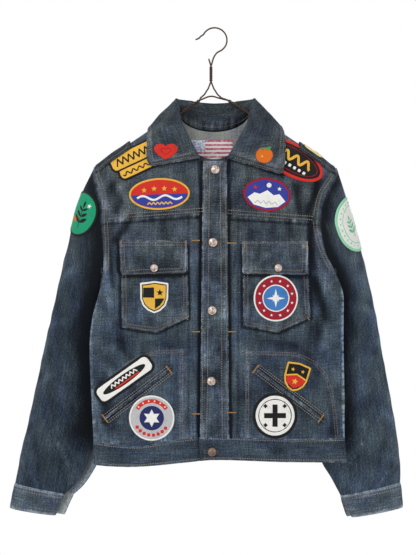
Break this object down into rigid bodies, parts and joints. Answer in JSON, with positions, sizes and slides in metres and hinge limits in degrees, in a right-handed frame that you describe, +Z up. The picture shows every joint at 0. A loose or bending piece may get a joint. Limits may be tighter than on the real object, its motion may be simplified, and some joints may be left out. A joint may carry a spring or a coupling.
{
  "type": "patched denim jacket on a wire hanger",
  "caption": "Dark indigo denim jacket with chest pockets, epaulets and many sewn-on embroidered patches, hanging closed at the front and flat on a twisted wire hanger.",
  "frame": {"origin": "inside the crown of the hanger's hook, in the plane of its wire, where a rail carries it", "axes": "+Z up along the jacket's length, -Y out of the jacket's front, +X towards the wearer's left"},
  "size_m": [0.7165, 0.12, 0.8869],
  "materials": {
    "back_panel": "worn dark indigo denim",
    "back_yoke": "worn dark indigo denim",
    "chest_pocket_left": "worn dark indigo denim",
    "chest_pocket_right": "worn dark indigo denim",
    "collar": "worn dark indigo denim",
    "cuff_left": "worn dark indigo denim",
    "cuff_right": "worn dark indigo denim",
    "epaulet_left": "worn dark indigo denim",
    "epaulet_right": "worn dark indigo denim",
    "flap_left": "worn dark indigo denim",
    "flap_right": "worn dark indigo denim",
    "front_left": "worn dark indigo denim",
    "front_right": "worn dark indigo denim",
    "front_yoke_left": "worn dark indigo denim",
    "front_yoke_right": "worn dark indigo denim",
    "placket": "worn dark indigo denim",
    "sleeve_left": "worn dark indigo denim",
    "sleeve_right": "worn dark indigo denim",
    "waistband": "worn dark indigo denim",
    "welt_left": "worn dark indigo denim",
    "welt_right": "worn dark indigo denim",
    "neck_label": "printed cotton, faded red and white stripes",
    "patch_fruit_collar_left": "embroidered twill, orange with green leaves",
    "patch_heart_collar_right": "embroidered twill, red",
    "patch_pocket_roundel_left": "embroidered twill, red ring round a blue centre",
    "patch_pocket_shield_right": "embroidered twill, white border round yellow and black",
    "patch_shoulder_oval_left": "embroidered twill, black in a red border",
    "patch_shoulder_top_left": "embroidered twill, yellow with a black edge",
    "patch_sleeve_round_left": "embroidered twill, white with a green border",
    "patch_sleeve_round_right": "embroidered twill, green with a black border",
    "patch_waist_bar_right": "embroidered twill, white and red in a black border",
    "patch_waist_roundel_left": "embroidered twill, white with a black cross",
    "patch_waist_roundel_right": "embroidered twill, pale grey and red round a navy centre",
    "patch_waist_shield_left": "embroidered twill, red and black in a yellow border",
    "patch_yoke_bar_right": "embroidered twill, yellow in a black border",
    "patch_yoke_oval_left": "embroidered twill, blue in a dark red border",
    "patch_yoke_oval_right": "embroidered twill, red and blue in a yellow border",
    "button_1": "worn copper-toned tack button",
    "button_2": "worn copper-toned tack button",
    "button_3": "worn copper-toned tack button",
    "button_4": "worn copper-toned tack button",
    "button_5": "worn copper-toned tack button",
    "flap_button_left": "worn copper-toned tack button",
    "flap_button_right": "worn copper-toned tack button",
    "hanger_arm_wire": "rusted bare wire",
    "hanger_brace_wire": "rusted bare wire",
    "hanger_hook_wire": "rusted bare wire"
  },
  "bodies": {
    "root": {"back_panel": "back_panel", "back_yoke": "back_yoke", "chest_pocket_left": "chest_pocket_left", "chest_pocket_right": "chest_pocket_right", "collar": "collar", "cuff_left": "cuff_left", "cuff_right": "cuff_right", "epaulet_left": "epaulet_left", "epaulet_right": "epaulet_right", "flap_left": "flap_left", "flap_right": "flap_right", "front_left": "front_left", "front_right": "front_right", "front_yoke_left": "front_yoke_left", "front_yoke_right": "front_yoke_right", "placket": "placket", "sleeve_left": "sleeve_left", "sleeve_right": "sleeve_right", "waistband": "waistband", "welt_left": "welt_left", "welt_right": "welt_right", "neck_label": "neck_label", "patch_fruit_collar_left": "patch_fruit_collar_left", "patch_heart_collar_right": "patch_heart_collar_right", "patch_pocket_roundel_left": "patch_pocket_roundel_left", "patch_pocket_shield_right": "patch_pocket_shield_right", "patch_shoulder_oval_left": "patch_shoulder_oval_left", "patch_shoulder_top_left": "patch_shoulder_top_left", "patch_sleeve_round_left": "patch_sleeve_round_left", "patch_sleeve_round_right": "patch_sleeve_round_right", "patch_waist_bar_right": "patch_waist_bar_right", "patch_waist_roundel_left": "patch_waist_roundel_left", "patch_waist_roundel_right": "patch_waist_roundel_right", "patch_waist_shield_left": "patch_waist_shield_left", "patch_yoke_bar_right": "patch_yoke_bar_right", "patch_yoke_oval_left": "patch_yoke_oval_left", "patch_yoke_oval_right": "patch_yoke_oval_right", "button_1": "button_1", "button_2": "button_2", "button_3": "button_3", "button_4": "button_4", "button_5": "button_5", "flap_button_left": "flap_button_left", "flap_button_right": "flap_button_right", "hanger_arm_wire": "hanger_arm_wire", "hanger_brace_wire": "hanger_brace_wire", "hanger_hook_wire": "hanger_hook_wire"}
  },
  "joints": []
}
